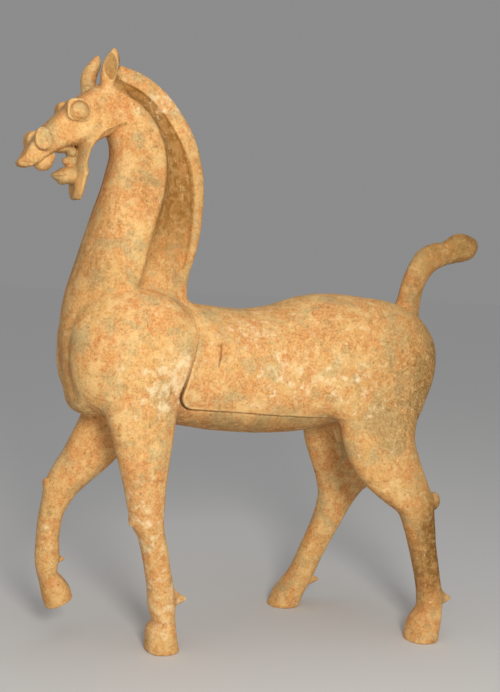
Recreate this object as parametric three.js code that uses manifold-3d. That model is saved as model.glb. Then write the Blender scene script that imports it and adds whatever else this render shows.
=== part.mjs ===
// A pottery horse of the kind modelled in Sichuan for graves: it neighs with raised head, walks with its
// off foreleg lifted and carries its short tail high. The whole figure is one fired piece.
// Millimetres, +Z up. The nose points to -X, the near (left) side to -Y, and the tail to +X.
// The origin is under the middle of the bounding box, on the plane that the three standing hooves share.
import * as THREE from "three";
import { mergeVertices } from "three/addons/utils/BufferGeometryUtils.js";
import Module from "manifold-3d";

const wasm = await Module();
wasm.setup();

// Driving dimensions.
const HEIGHT = 1100; // soles to ear tips
const FLAP_RAISE = 6; // how far the saddle flap stands off the flank
const EYE_RADIUS = 17; // the bulging eyeball
const EYE_GROOVE = 2; // width of the groove round it
const EYE_RIM = 3; // width of the raised rim outside the groove
const SPUR_LENGTH = 20; // the pointed tuft behind each fetlock
const EAR_WALL = 5; // clay left behind the hollow of an ear
const SHOULDER_YAW = THREE.MathUtils.degToRad(15); // how much the shoulders close in to the front

// The free form is drawn in thousandths of the height.
const MIL = HEIGHT / 1000;
const NEAR = -1;
const FAR = 1;

// Fineness of the facets.
const BODY_SIDES = 20;
const BULGE_SIDES = 18;
const LIMB_SIDES = 12;
const BODY_STEPS = 2;
const LIMB_STEPS = 1;
const BALL_SIDES = 12;
const EYE_SIDES = 16;

const terracotta = new THREE.MeshStandardMaterial({
  color: 0xc98a55,
  roughness: 0.9,
  metalness: 0,
});

// A closed mesh as a solid that can be joined and cut.
function solidOf(geometry) {
  const bare = geometry.clone();
  for (const name of Object.keys(bare.attributes))
    if (name !== "position") bare.deleteAttribute(name);
  const merged = mergeVertices(bare, 1e-4);
  const made = new wasm.Manifold(
    new wasm.Mesh({
      numProp: 3,
      vertProperties: new Float32Array(merged.attributes.position.array),
      triVerts: new Uint32Array(merged.index.array),
    }),
  );
  return made;
}

// Points round a section, each [across, along]: across runs from -1 to 1 over the thickness,
// and along from 0 at the front edge to 1 at the back edge.
function roundSection(sides, squareness = 2) {
  const power = 2 / squareness;
  return Array.from({ length: sides }, (_, i) => {
    const turn = (2 * Math.PI * i) / sides;
    const [c, s] = [Math.cos(turn), Math.sin(turn)];
    return [
      Math.sign(s) * Math.abs(s) ** power,
      (1 - Math.sign(c) * Math.abs(c) ** power) / 2,
    ];
  });
}

// A section from the outline of one half, front to back, each point [across, along].
function mirroredSection(half) {
  const other = half
    .slice(1, -1)
    .reverse()
    .map(([across, along]) => [-across, along]);
  return [...half, ...other];
}

// A solid through ribs. A rib is [front x, front z, back x, back z, y, half thickness]: the form's two edges
// as seen from the side, its sideways place and half its thickness there, in thousandths of the height.
function loft(ribs, section, steps = BODY_STEPS) {
  const curve = (pick) =>
    new THREE.CatmullRomCurve3(
      ribs.map((rib) => new THREE.Vector3(...pick(rib)).multiplyScalar(MIL)),
    );
  const front = curve(([x, z, , , y]) => [x, y, z]);
  const back = curve(([, , x, z, y]) => [x, y, z]);
  const thickness = curve(([, , , , , half], i) => [half, 0, 0]);
  const rings = (ribs.length - 1) * steps;
  const positions = [];
  const middles = [];
  for (let i = 0; i <= rings; i++) {
    const t = i / rings;
    const [f, b, half] = [front, back, thickness].map((c) => c.getPoint(t));
    for (const [across, along] of section) {
      const p = f.clone().lerp(b, along);
      positions.push(p.x, p.y + across * half.x, p.z);
    }
    middles.push(f.clone().lerp(b, 0.5));
  }
  const n = section.length;
  const index = [];
  for (let i = 0; i < rings; i++)
    for (let j = 0; j < n; j++) {
      const [a, b] = [i * n + j, i * n + ((j + 1) % n)];
      index.push(a, b, b + n, a, b + n, a + n);
    }
  [0, rings].forEach((ring, end) => {
    const centre = positions.length / 3;
    positions.push(...middles[ring].toArray());
    for (let j = 0; j < n; j++) {
      const [a, b] = [ring * n + j, ring * n + ((j + 1) % n)];
      index.push(...(end ? [centre, a, b] : [centre, b, a]));
    }
  });
  const geometry = new THREE.BufferGeometry();
  geometry.setAttribute(
    "position",
    new THREE.Float32BufferAttribute(positions, 3),
  );
  geometry.setIndex(index);
  if (signedVolume(geometry) < 0) turnInsideOut(geometry);
  return solidOf(geometry);
}

function signedVolume(geometry) {
  const p = geometry.attributes.position;
  const [a, b, c] = [0, 0, 0].map(() => new THREE.Vector3());
  let sum = 0;
  for (let i = 0; i < geometry.index.count; i += 3) {
    [a, b, c].forEach((v, k) =>
      v.fromBufferAttribute(p, geometry.index.getX(i + k)),
    );
    sum += a.dot(b.cross(c)) / 6;
  }
  return sum;
}

function turnInsideOut(geometry) {
  const order = geometry.index.array;
  for (let i = 0; i < order.length; i += 3)
    [order[i + 1], order[i + 2]] = [order[i + 2], order[i + 1]];
}

// An ellipsoid. Its place and its radii are in thousandths of the height.
// Pitch turns it in the plane of the horse's profile, and yaw turns it seen from above.
function ball(
  [x, y, z],
  [rx, ry, rz],
  { pitch = 0, yaw = 0, sides = BALL_SIDES } = {},
) {
  const geometry = new THREE.SphereGeometry(MIL, sides, sides / 2);
  geometry.rotateX(Math.PI / 2);
  geometry.scale(rx, ry, rz);
  geometry.rotateY(pitch);
  geometry.rotateZ(yaw);
  geometry.translate(x * MIL, y * MIL, z * MIL);
  return solidOf(geometry);
}

const joined = (solids) => solids.reduce((all, next) => all.add(next));

// Barrel, from the breast to the buttocks. The front edge of a rib is the back line here, and its back edge
// is the belly line.
const TRUNK_RIBS = [
  [-425, 522, -423, 462, 0, 20],
  [-419, 552, -413, 440, 0, 50],
  [-402, 578, -398, 421, 0, 73],
  [-366, 602, -362, 405, 0, 90],
  [-300, 610, -300, 394, 0, 99],
  [-225, 600, -225, 388, 0, 102],
  [-160, 592, -160, 379, 0, 98],
  [-100, 590, -100, 374, 0, 97],
  [-45, 601, -45, 372, 0, 99],
  [25, 617, 25, 376, 0, 106],
  [95, 622, 95, 388, 0, 113],
  [165, 615, 165, 404, 0, 114],
  [220, 600, 220, 430, 0, 104],
  [256, 574, 256, 462, 0, 82],
  [275, 540, 274, 492, 0, 46],
];

function trunk() {
  return loft(TRUNK_RIBS, roundSection(BODY_SIDES, 2.3));
}

// The saddle flap: the barrel swollen sideways, kept only inside the flap's outline.
function saddleFlap() {
  const swell = FLAP_RAISE / MIL;
  const ribs = TRUNK_RIBS.slice(4, 12).map(([fx, fz, bx, bz, y, half]) => [
    fx,
    fz - swell / 2,
    bx,
    bz,
    y,
    half + swell,
  ]);
  const outline = new THREE.Shape();
  outline.moveTo(-208 * MIL, 630 * MIL);
  outline.lineTo(-221 * MIL, 524 * MIL);
  outline.lineTo(-242 * MIL, 455 * MIL);
  outline.quadraticCurveTo(-249 * MIL, 431 * MIL, -222 * MIL, 427 * MIL);
  outline.lineTo(-62 * MIL, 411 * MIL);
  outline.lineTo(130 * MIL, 400 * MIL);
  outline.lineTo(130 * MIL, 630 * MIL);
  const width = 300 * MIL;
  const block = new THREE.ExtrudeGeometry(outline, {
    depth: width,
    bevelEnabled: false,
    curveSegments: 4,
  });
  block.rotateX(Math.PI / 2);
  block.translate(0, width / 2, 0);
  return loft(ribs, roundSection(BODY_SIDES, 2.3)).intersect(solidOf(block));
}

// Neck and mane in one: a round throat, full sides, a hollow along the crest and the mane's thick edge.
function neck() {
  const half = [
    [0, 0],
    [0.42, 0.03],
    [0.76, 0.13],
    [0.96, 0.3],
    [1, 0.46],
    [0.86, 0.62],
    [0.52, 0.71],
    [0.3, 0.78],
    [0.23, 0.86],
    [0.27, 0.95],
    [0.14, 1],
    [0, 1],
  ];
  return loft(
    [
      [-396, 898, -340, 979, 0, 36],
      [-376, 880, -303, 971, 0, 40],
      [-360, 860, -258, 943, 0, 45],
      [-355, 834, -216, 897, 0, 49],
      [-356, 806, -191, 846, 0, 53],
      [-361, 775, -183, 795, 0, 57],
      [-371, 740, -185, 745, 0, 62],
      [-385, 697, -190, 700, 0, 67],
      [-400, 650, -199, 664, 0, 72],
      [-415, 605, -208, 630, 0, 76],
      [-423, 560, -212, 590, 0, 76],
      [-416, 510, -214, 550, 0, 66],
    ],
    mirroredSection(half),
  );
}

// The shoulders are round bulges that close in towards the breast.
function shoulder(side) {
  return ball([-308, side * 52, 512], [95, 67, 107], {
    yaw: side * SHOULDER_YAW,
    sides: BULGE_SIDES,
  });
}

function haunch(side) {
  return ball([162, side * 56, 500], [100, 76, 106], { sides: BULGE_SIDES });
}

// Flat on top and along the sides, and narrowing to a beaked upper lip.
function head() {
  return loft(
    [
      [-350, 965, -322, 892, 0, 36],
      [-378, 945, -348, 872, 0, 43],
      [-402, 929, -376, 856, 0, 46],
      [-422, 913, -404, 846, 0, 45],
      [-439, 897, -424, 841, 0, 40],
      [-456, 879, -440, 835, 0, 35],
      [-472, 861, -456, 826, 0, 31],
      [-487, 841, -475, 812, 0, 28],
      [-499, 824, -490, 804, 0, 22],
      [-508, 810, -504, 803, 0, 12],
    ],
    roundSection(LIMB_SIDES + 4, 3.8),
    LIMB_STEPS,
  );
}

// The jaw hangs straight down from the cheeks, and the tongue and the lower lip stand out from it.
function lowerJaw() {
  const jaw = loft(
    [
      [-404, 868, -352, 876, 0, 45],
      [-407, 846, -379, 854, 0, 43],
      [-410, 828, -388, 828, 0, 36],
      [-415, 808, -391, 806, 0, 31],
      [-420, 788, -393, 786, 0, 27],
      [-421, 770, -397, 767, 0, 23],
      [-416, 758, -404, 757, 0, 14],
    ],
    roundSection(LIMB_SIDES, 2.6),
    LIMB_STEPS,
  );
  const tongue = loft(
    [
      [-412, 814, -412, 794, 0, 18],
      [-428, 810, -430, 788, 0, 17],
      [-444, 804, -443, 788, 0, 13],
      [-455, 797, -453, 792, 0, 6],
    ],
    roundSection(10),
    LIMB_STEPS,
  );
  const tooth = loft(
    [
      [-406, 826, -406, 814, 0, 12],
      [-420, 823, -420, 815, 0, 9],
      [-431, 820, -430, 817, 0, 4],
    ],
    roundSection(8),
    LIMB_STEPS,
  );
  const lip = ball([-431, 0, 789], [14, 16, 11], { pitch: 0.5, sides: 10 });
  const tongueRoot = ball([-417, 0, 834], [9, 16, 9], { sides: 10 });
  return joined([jaw, tongue, tooth, lip, tongueRoot]);
}

function upperTeeth() {
  return loft(
    [
      [-478, 818, -475, 805, 0, 10],
      [-469, 824, -467, 797, 0, 16],
      [-458, 830, -452, 800, 0, 17],
      [-447, 836, -443, 816, 0, 13],
    ],
    roundSection(LIMB_SIDES),
    LIMB_STEPS,
  );
}

// A disc lying in the plane of the profile, its outer face at y, in millimetres across.
function disc([x, y, z], radius, side) {
  const thickness = radius;
  const geometry = new THREE.CylinderGeometry(
    radius,
    radius,
    thickness,
    EYE_SIDES,
  );
  geometry.translate(x * MIL, side * (y * MIL - thickness / 2), z * MIL);
  return solidOf(geometry);
}

// An eyeball in a thick round socket that stands above the brow, with a groove between the two.
function eye(side) {
  const [x, z] = side === NEAR ? [-415, 894] : [-417, 897];
  const radius = EYE_RADIUS / MIL;
  const groove = radius + EYE_GROOVE / MIL;
  const rim = disc(
    [x - 2, 48, z + 2],
    EYE_RADIUS + EYE_GROOVE + EYE_RIM,
    side,
  );
  const hollow = ball([x, side * 46, z], [groove, groove, groove], {
    sides: EYE_SIDES,
  });
  const eyeball = ball([x, side * 42, z], [radius, radius, radius], {
    sides: EYE_SIDES,
  });
  return { rim, hollow, eyeball };
}

// A flared nostril: a thick disc with a shallow dish in its outer face.
function nostril(side) {
  const [x, z] = side === NEAR ? [-471, 847] : [-476, 849];
  const flare = ball([x, side * 26, z], [16, 15, 19], { pitch: 0.3 });
  const dish = ball([x - 2, side * 40, z + 3], [10, 5, 13], {
    pitch: 0.3,
    sides: 8,
  });
  return flare.subtract(dish);
}

// A leaf-shaped ear, hollowed from its outer side.
function ear(side) {
  const forward = side === NEAR ? 0 : -8;
  const ribs = [
    [-388, 915, -358, 922, 28, 10],
    [-386, 940, -357, 945, 32, 12],
    [-382, 962, -354, 967, 36, 11],
    [-376, 980, -354, 983, 37, 8],
    [-368, 993, -356, 994, 37, 5],
    [-362, 1000, -359, 1000, 37, 2],
  ].map(([fx, fz, bx, bz, y, half]) => [
    fx + forward,
    fz,
    bx + forward,
    bz,
    side * y,
    half,
  ]);
  const leaf = loft(ribs, roundSection(12), LIMB_STEPS);
  const wall = EAR_WALL / MIL;
  const hollow = ball(
    [-370 + forward, side * 47, 966],
    [15 - wall / 2, 14 - wall, 35 - wall],
    { pitch: -0.25, sides: 12 },
  );
  return leaf.subtract(hollow);
}

// A pointed tuft, drawn out backwards from the fetlock. The point is given in thousandths of the height.
function spur(x, z, y, drop = 0.35) {
  const cone = new THREE.ConeGeometry(SPUR_LENGTH * 0.9, SPUR_LENGTH * 1.6, 8);
  cone.scale(1, 1, 0.6);
  cone.translate(0, -SPUR_LENGTH * 0.8, 0);
  cone.rotateZ(-Math.PI / 2);
  cone.rotateY(drop);
  cone.translate(x * MIL, y * MIL, z * MIL);
  return solidOf(cone);
}

function kneePad(x, z, y, pitch = 0) {
  return ball([x, y, z], [9, 18, 22], { pitch, sides: 10 });
}

const hoofSection = roundSection(LIMB_SIDES, 2.2);

function nearForeleg() {
  const leg = loft(
    [
      [-372, 540, -268, 545, -62, 30],
      [-382, 485, -243, 490, -72, 40],
      [-372, 436, -241, 438, -74, 39],
      [-355, 382, -247, 378, -76, 36],
      [-338, 332, -252, 333, -76, 33],
      [-325, 290, -254, 292, -71, 30],
      [-315, 255, -253, 255, -65, 28],
      [-299, 216, -247, 218, -59, 26],
      [-285, 185, -239, 186, -54, 24],
      [-275, 140, -229, 142, -47, 23],
      [-265, 98, -219, 98, -41, 23],
      [-258, 68, -216, 70, -38, 24],
      [-260, 54, -214, 55, -36, 26],
      [-268, 42, -212, 42, -35, 29],
      [-270, 18, -207, 18, -35, 31],
      [-267, 0, -208, 0, -35, 30],
    ],
    hoofSection,
    LIMB_STEPS,
  );
  return joined([leg, spur(-202, 84, -40), kneePad(-308, 242, -62, 0.3)]);
}

function farForeleg() {
  const leg = loft(
    [
      [-345, 520, -240, 470, 58, 34],
      [-352, 458, -236, 405, 62, 39],
      [-368, 398, -262, 352, 68, 38],
      [-390, 340, -311, 301, 73, 33],
      [-412, 292, -348, 269, 76, 29],
      [-421, 266, -365, 253, 77, 27],
      [-427, 240, -381, 234, 77, 25],
      [-432, 200, -391, 201, 77, 22],
      [-433, 162, -393, 163, 77, 21],
      [-434, 138, -396, 136, 77, 22],
      [-429, 116, -391, 120, 77, 25],
      [-424, 100, -374, 106, 77, 28],
      [-418, 72, -365, 88, 77, 29],
      [-411, 54, -368, 76, 77, 27],
    ],
    hoofSection,
    LIMB_STEPS,
  );
  return joined([leg, spur(-383, 133, 77), kneePad(-414, 268, 77, -0.3)]);
}

function nearHindLeg() {
  const leg = loft(
    [
      [40, 575, 225, 580, -58, 34],
      [12, 530, 256, 540, -72, 38],
      [6, 480, 258, 482, -84, 42],
      [29, 432, 243, 430, -86, 43],
      [52, 396, 221, 397, -96, 39],
      [59, 362, 207, 369, -107, 37],
      [74, 325, 217, 330, -111, 34],
      [105, 285, 238, 287, -114, 30],
      [149, 252, 258, 256, -116, 28],
      [177, 234, 258, 230, -118, 26],
      [192, 205, 256, 206, -120, 25],
      [206, 163, 262, 164, -122, 24],
      [219, 104, 274, 102, -124, 24],
      [222, 72, 278, 70, -125, 25],
      [217, 56, 279, 55, -125, 27],
      [207, 44, 278, 44, -125, 30],
      [199, 18, 274, 16, -125, 32],
      [199, 0, 269, 0, -125, 31],
    ],
    hoofSection,
    LIMB_STEPS,
  );
  return joined([leg, spur(296, 70, -125), kneePad(252, 255, -117, 0.2)]);
}

function farHindLeg() {
  const leg = loft(
    [
      [52, 570, 214, 578, 58, 34],
      [34, 520, 246, 535, 72, 38],
      [48, 470, 262, 480, 82, 42],
      [72, 425, 266, 430, 88, 44],
      [84, 378, 264, 372, 93, 40],
      [94, 332, 262, 312, 98, 36],
      [109, 294, 256, 264, 103, 32],
      [127, 254, 240, 234, 108, 29],
      [138, 218, 218, 203, 113, 27],
      [126, 168, 197, 165, 116, 25],
      [105, 121, 173, 122, 119, 24],
      [88, 82, 153, 84, 122, 25],
      [79, 62, 143, 62, 124, 26],
      [64, 50, 134, 46, 125, 29],
      [48, 22, 121, 18, 125, 32],
      [44, 0, 113, 0, 125, 31],
    ],
    hoofSection,
    LIMB_STEPS,
  );
  return joined([leg, spur(157, 44, 123)]);
}

// The tail rises from the dock, arches back and ends in a knotted knob.
function tail() {
  const stem = loft(
    [
      [206, 585, 274, 568, 0, 28],
      [221, 612, 272, 600, 0, 23],
      [229, 643, 275, 635, 0, 20],
      [238, 667, 284, 653, 0, 20],
      [250, 690, 297, 670, 0, 20],
      [267, 709, 311, 680, 0, 20],
      [293, 722, 325, 686, 0, 20],
      [318, 727, 338, 689, 0, 20],
      [334, 741, 351, 691, 0, 23],
      [352, 747, 366, 694, 0, 25],
      [372, 746, 383, 700, 0, 23],
      [390, 740, 396, 714, 0, 14],
    ],
    roundSection(LIMB_SIDES),
    LIMB_STEPS,
  );
  return stem;
}

function sheath() {
  return ball([110, 0, 374], [10, 10, 27], { pitch: -0.3, sides: 10 });
}

function horse() {
  const sides = [NEAR, FAR];
  const eyes = sides.map(eye);
  const face = joined([head(), ...eyes.map(({ rim }) => rim)]).subtract(
    joined(eyes.map(({ hollow }) => hollow)),
  );
  return joined([
    trunk(),
    saddleFlap(),
    ...sides.map(shoulder),
    ...sides.map(haunch),
    neck(),
    face,
    ...eyes.map(({ eyeball }) => eyeball),
    lowerJaw(),
    upperTeeth(),
    ...sides.map(nostril),
    ...sides.map(ear),
    nearForeleg(),
    farForeleg(),
    nearHindLeg(),
    farHindLeg(),
    tail(),
    sheath(),
  ]);
}

function geometryOf(solid) {
  const { numProp, numVert, vertProperties, triVerts } = solid.getMesh();
  const positions = new Float32Array(numVert * 3);
  for (let i = 0; i < numVert; i++)
    positions.set(
      vertProperties.subarray(i * numProp, i * numProp + 3),
      i * 3,
    );
  const geometry = new THREE.BufferGeometry();
  geometry.setAttribute("position", new THREE.BufferAttribute(positions, 3));
  geometry.setIndex(new THREE.BufferAttribute(new Uint32Array(triVerts), 1));
  return geometry;
}

const geometry = geometryOf(horse());
geometry.computeBoundingBox();
const middle = geometry.boundingBox.getCenter(new THREE.Vector3());
geometry.translate(-middle.x, -middle.y, -geometry.boundingBox.min.z);
geometry.computeVertexNormals();

const figure = new THREE.Mesh(geometry, terracotta);
figure.name = "horse";
const group = new THREE.Group();
group.add(figure);
export default group;
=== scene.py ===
"""Looks of the terracotta horse.

The same ribs as the CAD solid's are lofted finely into signed distance fields, which are blended
where the potter smoothed the clay and cut where an edge is crisp. The joined field becomes one mesh.
"""

import math

import bpy
import numpy as np
import openvdb as vdb
from mathutils import Matrix, Vector


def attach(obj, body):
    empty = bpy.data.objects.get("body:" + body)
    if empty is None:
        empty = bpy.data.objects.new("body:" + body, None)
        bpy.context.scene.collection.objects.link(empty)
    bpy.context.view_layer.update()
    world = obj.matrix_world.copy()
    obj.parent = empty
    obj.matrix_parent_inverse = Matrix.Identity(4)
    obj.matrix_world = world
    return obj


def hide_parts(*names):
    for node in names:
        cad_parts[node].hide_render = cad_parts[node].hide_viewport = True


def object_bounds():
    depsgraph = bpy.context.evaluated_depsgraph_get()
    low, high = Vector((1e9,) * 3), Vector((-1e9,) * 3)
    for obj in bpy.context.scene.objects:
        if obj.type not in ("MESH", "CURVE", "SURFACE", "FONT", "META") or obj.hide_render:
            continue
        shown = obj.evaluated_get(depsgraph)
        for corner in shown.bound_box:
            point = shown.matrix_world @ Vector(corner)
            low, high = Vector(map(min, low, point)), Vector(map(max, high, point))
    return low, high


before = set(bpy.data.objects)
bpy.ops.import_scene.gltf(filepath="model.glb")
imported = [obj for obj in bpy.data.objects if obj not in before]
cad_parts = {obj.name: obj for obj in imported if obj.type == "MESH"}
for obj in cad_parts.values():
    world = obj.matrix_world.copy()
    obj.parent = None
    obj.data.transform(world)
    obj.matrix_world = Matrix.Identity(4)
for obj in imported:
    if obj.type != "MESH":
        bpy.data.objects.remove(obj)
CAD_LOW, CAD_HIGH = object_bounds()

# Sizes, in metres. The free form is drawn in thousandths of the height, as the CAD solid is.
HEIGHT = CAD_HIGH.z - CAD_LOW.z
MIL = HEIGHT / 1000
NOSE_TIP = -508  # the solid's foremost point, in thousandths
SHIFT = CAD_LOW.x - NOSE_TIP * MIL
VOXEL = 0.002
BAND = 0.032  # how far from the clay's surface the fields are worked out
MARGIN = 0.02
CORNER_REACH = 1.3  # how much further than its radii a squarish disc may reach
FLAP_RAISE = 0.0065
FLAP_GROOVE = 0.0045
FLAP_GROOVE_WIDTH = 0.0026
FLAP_SIDE = 0.06  # the flap lies further from the middle than this
SHOULDER_CREASE = 0.003
CREASE_WIDTH = 0.011
SHOULDER_BLEND = 0.003
FLANK_BLEND = 0.027  # added to the shoulder's where it runs into the flank
EYE_RADIUS = 0.015
EYE_GROOVE = 0.003
EYE_RIM = 0.0035
SPUR_LENGTH = 0.024
MOST_TRIANGLES = 190000
FAR_AWAY = 9.0
NEAR = -1
FAR = 1


# Curves and lofts

def through(points, steps):
    """Points on a centripetal Catmull-Rom curve through the given ones, with so many steps between two."""
    p = np.asarray(points, float)
    p = np.vstack([2 * p[0] - p[1], p, 2 * p[-1] - p[-2]])
    gap = np.maximum(np.linalg.norm(np.diff(p, axis=0), axis=1) ** 0.5, 1e-6)
    t = np.arange(steps)[:, None] / steps
    made = []
    for i in range(1, len(p) - 2):
        g0, g1, g2 = gap[i - 1 : i + 2]
        a, b = p[i], p[i + 1]
        leave = ((a - p[i - 1]) / g0 - (b - p[i - 1]) / (g0 + g1) + (b - a) / g1) * g1
        reach = ((b - a) / g1 - (p[i + 2] - a) / (g1 + g2) + (p[i + 2] - b) / g2) * g1
        made.append(
            (2 * t**3 - 3 * t**2 + 1) * a
            + (t**3 - 2 * t**2 + t) * leave
            + (3 * t**2 - 2 * t**3) * b
            + (t**3 - t**2) * reach
        )
    return np.vstack([*made, p[-2]])


def round_section(squareness=2.0, sides=96):
    """Points round a section: across from -1 to 1, along from 0 at the front edge to 1 at the back."""
    turn = np.arange(sides) * 2 * math.pi / sides
    power = 2 / squareness
    c, s = np.cos(turn), np.sin(turn)
    across = np.sign(s) * np.abs(s) ** power
    along = (1 - np.sign(c) * np.abs(c) ** power) / 2
    return np.column_stack([across, along])


def mirrored_section(half, steps=4):
    """A section from the outline of one half, front to back."""
    fine = through(half, steps)
    fine[0, 0] = fine[-1, 0] = 0
    return np.vstack([fine, fine[-2:0:-1] * (-1, 1)])


def loft(ribs, section, steps=8, warp=None):
    """Vertices and triangles of a closed form through ribs [front x, front z, back x, back z, y, half].

    A warp moves the section's two nominal places along it to those given for each rib.
    """
    rings = rings_through(np.array(ribs, float), section, steps, warp)
    points = np.vstack([rings.reshape(-1, 3), rings[0].mean(0), rings[-1].mean(0)])
    points = points * MIL + (SHIFT, 0, 0)
    return points.astype(np.float32), closed_faces(*rings.shape[:2]).astype(np.uint32)


def rings_through(ribs, section, steps, warp):
    """The section set between smooth curves along the ribs' front and back edges."""
    front = through(ribs[:, [0, 4, 1]], steps)
    back = through(ribs[:, [2, 4, 3]], steps)
    half = through(ribs[:, 5:6], steps)
    across, along = section[:, 0], np.tile(section[:, 1], (len(front), 1))
    if warp is not None:
        nominal, wanted = [0, *warp[0], 1], through(warp[1], steps)
        along = np.array([np.interp(section[:, 1], nominal, [0, *w, 1]) for w in wanted])
    rings = front[:, None] + (back - front)[:, None] * along[:, :, None]
    rings[:, :, 1] += half * across[None, :]
    return rings


def closed_faces(count, sides):
    """Triangles between so many rings of points, and round the two middles that close the ends."""
    i, j = np.meshgrid(np.arange(count - 1), np.arange(sides), indexing="ij")
    a = (i * sides + j).ravel()
    b = (i * sides + (j + 1) % sides).ravel()
    edge = np.arange(sides)
    follow = (edge + 1) % sides
    last, first_middle = (count - 1) * sides, count * sides
    return np.vstack(
        [
            np.column_stack([a, b, b + sides]),
            np.column_stack([a, b + sides, a + sides]),
            np.column_stack([np.full(sides, first_middle), follow, edge]),
            np.column_stack([np.full(sides, first_middle + 1), last + edge, last + follow]),
        ]
    )


# Fields

class Clay:
    """A signed distance field on a dense grid, in metres, negative inside."""

    def __init__(self, low, high):
        self.origin = np.floor(np.array(low) / VOXEL).astype(int)
        size = np.ceil(np.array(high) / VOXEL).astype(int) - self.origin + 1
        self.values = np.full(size, BAND, np.float32)

    def part(self, low, high):
        """The slices that hold a box given in grid counts, and the box cut to this grid."""
        first = np.maximum(np.array(low) - self.origin, 0)
        last = np.minimum(np.array(high) - self.origin + 1, self.values.shape)
        return tuple(slice(a, b) for a, b in zip(first, last)), first + self.origin

    def places(self, low, high):
        """The slices of a box given in metres, and the coordinates of their grid points."""
        first, last = np.floor(np.array(low) / VOXEL), np.ceil(np.array(high) / VOXEL)
        cells, first = self.part(first.astype(int), last.astype(int))
        counts = [s.stop - s.start for s in cells]
        axes = [(np.arange(n) + f) * VOXEL for n, f in zip(counts, first)]
        return cells, np.meshgrid(*axes, indexing="ij", sparse=True)

    def join(self, cells, field, blend):
        self.values[cells] = smooth_min(self.values[cells], field, blend)

    def cut(self, cells, field, blend):
        self.values[cells] = -smooth_min(-self.values[cells], field, blend)

    def loft(self, ribs, section, blend, warp=None):
        cells, field = self.field_of(loft(ribs, section, warp=warp))
        self.join(cells, field, blend)

    def field_of(self, mesh):
        points, faces = mesh
        grid = vdb.FloatGrid.createLevelSetFromPolygons(
            points,
            triangles=faces,
            transform=vdb.createLinearTransform(voxelSize=VOXEL),
            halfWidth=BAND / VOXEL,
        )
        cells, first = self.part(*grid.evalActiveVoxelBoundingBox())
        field = np.empty([s.stop - s.start for s in cells], np.float32)
        grid.copyToArray(field, ijk=tuple(int(c) for c in first))
        return cells, field

    def ball(self, centre, radii, blend, pitch=0.0, cut=False):
        """Joins or cuts an ellipsoid, with its place and radii in thousandths of the height."""
        reach = max(radii) * MIL + BAND
        cells, (x, y, z) = self.places(place(centre) - reach, place(centre) + reach)
        field = np.clip(ellipsoid(x, y, z, centre, radii, pitch), -BAND, BAND).astype(np.float32)
        (self.cut if cut else self.join)(cells, field, blend)

    def disc(self, back, front, radii, squareness, rounding, blend):
        """Joins a disc between two middles, with radii along x and z. Sizes are in thousandths."""
        a, b = place(back), place(front)
        r, soft = np.array(radii) * MIL, rounding * MIL
        reach = r.max() * CORNER_REACH + BAND
        cells, (x, y, z) = self.places(np.minimum(a, b) - reach, np.maximum(a, b) + reach)
        along = (y - a[1]) / (b[1] - a[1])
        dx, dz = x - (a[0] + along * (b[0] - a[0])), z - (a[2] + along * (b[2] - a[2]))
        power = (np.abs(dx / r[0]) ** squareness + np.abs(dz / r[1]) ** squareness) ** (1 / squareness)
        round_it = (power - 1) * r.min() + soft
        flat = (np.abs(along - 0.5) - 0.5) * abs(b[1] - a[1]) + soft
        outside = np.hypot(np.maximum(round_it, 0), np.maximum(flat, 0))
        field = outside + np.minimum(np.maximum(round_it, flat), 0) - soft
        self.join(cells, np.clip(field, -BAND, BAND).astype(np.float32), blend)

    def add(self, other, blend):
        """Joins another clay, cut to this grid."""
        cells, first = self.part(other.origin, other.origin + np.array(other.values.shape) - 1)
        counts = [s.stop - s.start for s in cells]
        theirs = tuple(slice(f, f + n) for f, n in zip(first - other.origin, counts))
        self.join(cells, other.values[theirs], blend)

    def mesh(self):
        """Points and quads of the surface."""
        grid = vdb.FloatGrid(BAND)
        grid.transform = vdb.createLinearTransform(voxelSize=VOXEL)
        grid.copyFromArray(self.values, ijk=tuple(int(c) for c in self.origin))
        return grid.convertToQuads(isovalue=0.0)


def smooth_min(a, b, blend):
    if np.max(blend) <= 0:
        return np.minimum(a, b)
    h = np.clip(0.5 + 0.5 * (b - a) / blend, 0, 1)
    return b + (a - b) * h - blend * h * (1 - h)


def ellipsoid(x, y, z, centre, radii, pitch=0.0, yaw=0.0, fullness=2.0):
    """Distance from an ellipsoid's surface, nearly true close to it, of places in metres.

    A fullness over 2 squares its outline, seen from the side.
    """
    c, r = place(centre), np.array(radii) * MIL
    x, y, z = x - c[0], y - c[1], z - c[2]
    x, y = x * math.cos(yaw) + y * math.sin(yaw), y * math.cos(yaw) - x * math.sin(yaw)
    x, z = x * math.cos(pitch) - z * math.sin(pitch), z * math.cos(pitch) + x * math.sin(pitch)
    if fullness != 2:
        flat = np.maximum(np.hypot(x / r[0], z / r[2]), 1e-6)
        squared = (np.abs(x / r[0]) ** fullness + np.abs(z / r[2]) ** fullness) ** (1 / fullness) / flat
        x, z = x * squared, z * squared
    far = np.sqrt((x / r[0]) ** 2 + (y / r[1]) ** 2 + (z / r[2]) ** 2)
    steep = np.sqrt((x / r[0] ** 2) ** 2 + (y / r[1] ** 2) ** 2 + (z / r[2] ** 2) ** 2)
    return far * (far - 1) / np.maximum(steep, 1e-6)


def place(point):
    """A place in thousandths of the height, in metres in the row's frame."""
    return np.array(point, float) * MIL + (SHIFT, 0, 0)


def ramp(value, low, high):
    """0 below low, 1 above high and smooth between."""
    t = np.clip((value - low) / (high - low), 0, 1)
    return t * t * (3 - 2 * t)


# The horse's forms, in thousandths of the height

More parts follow.
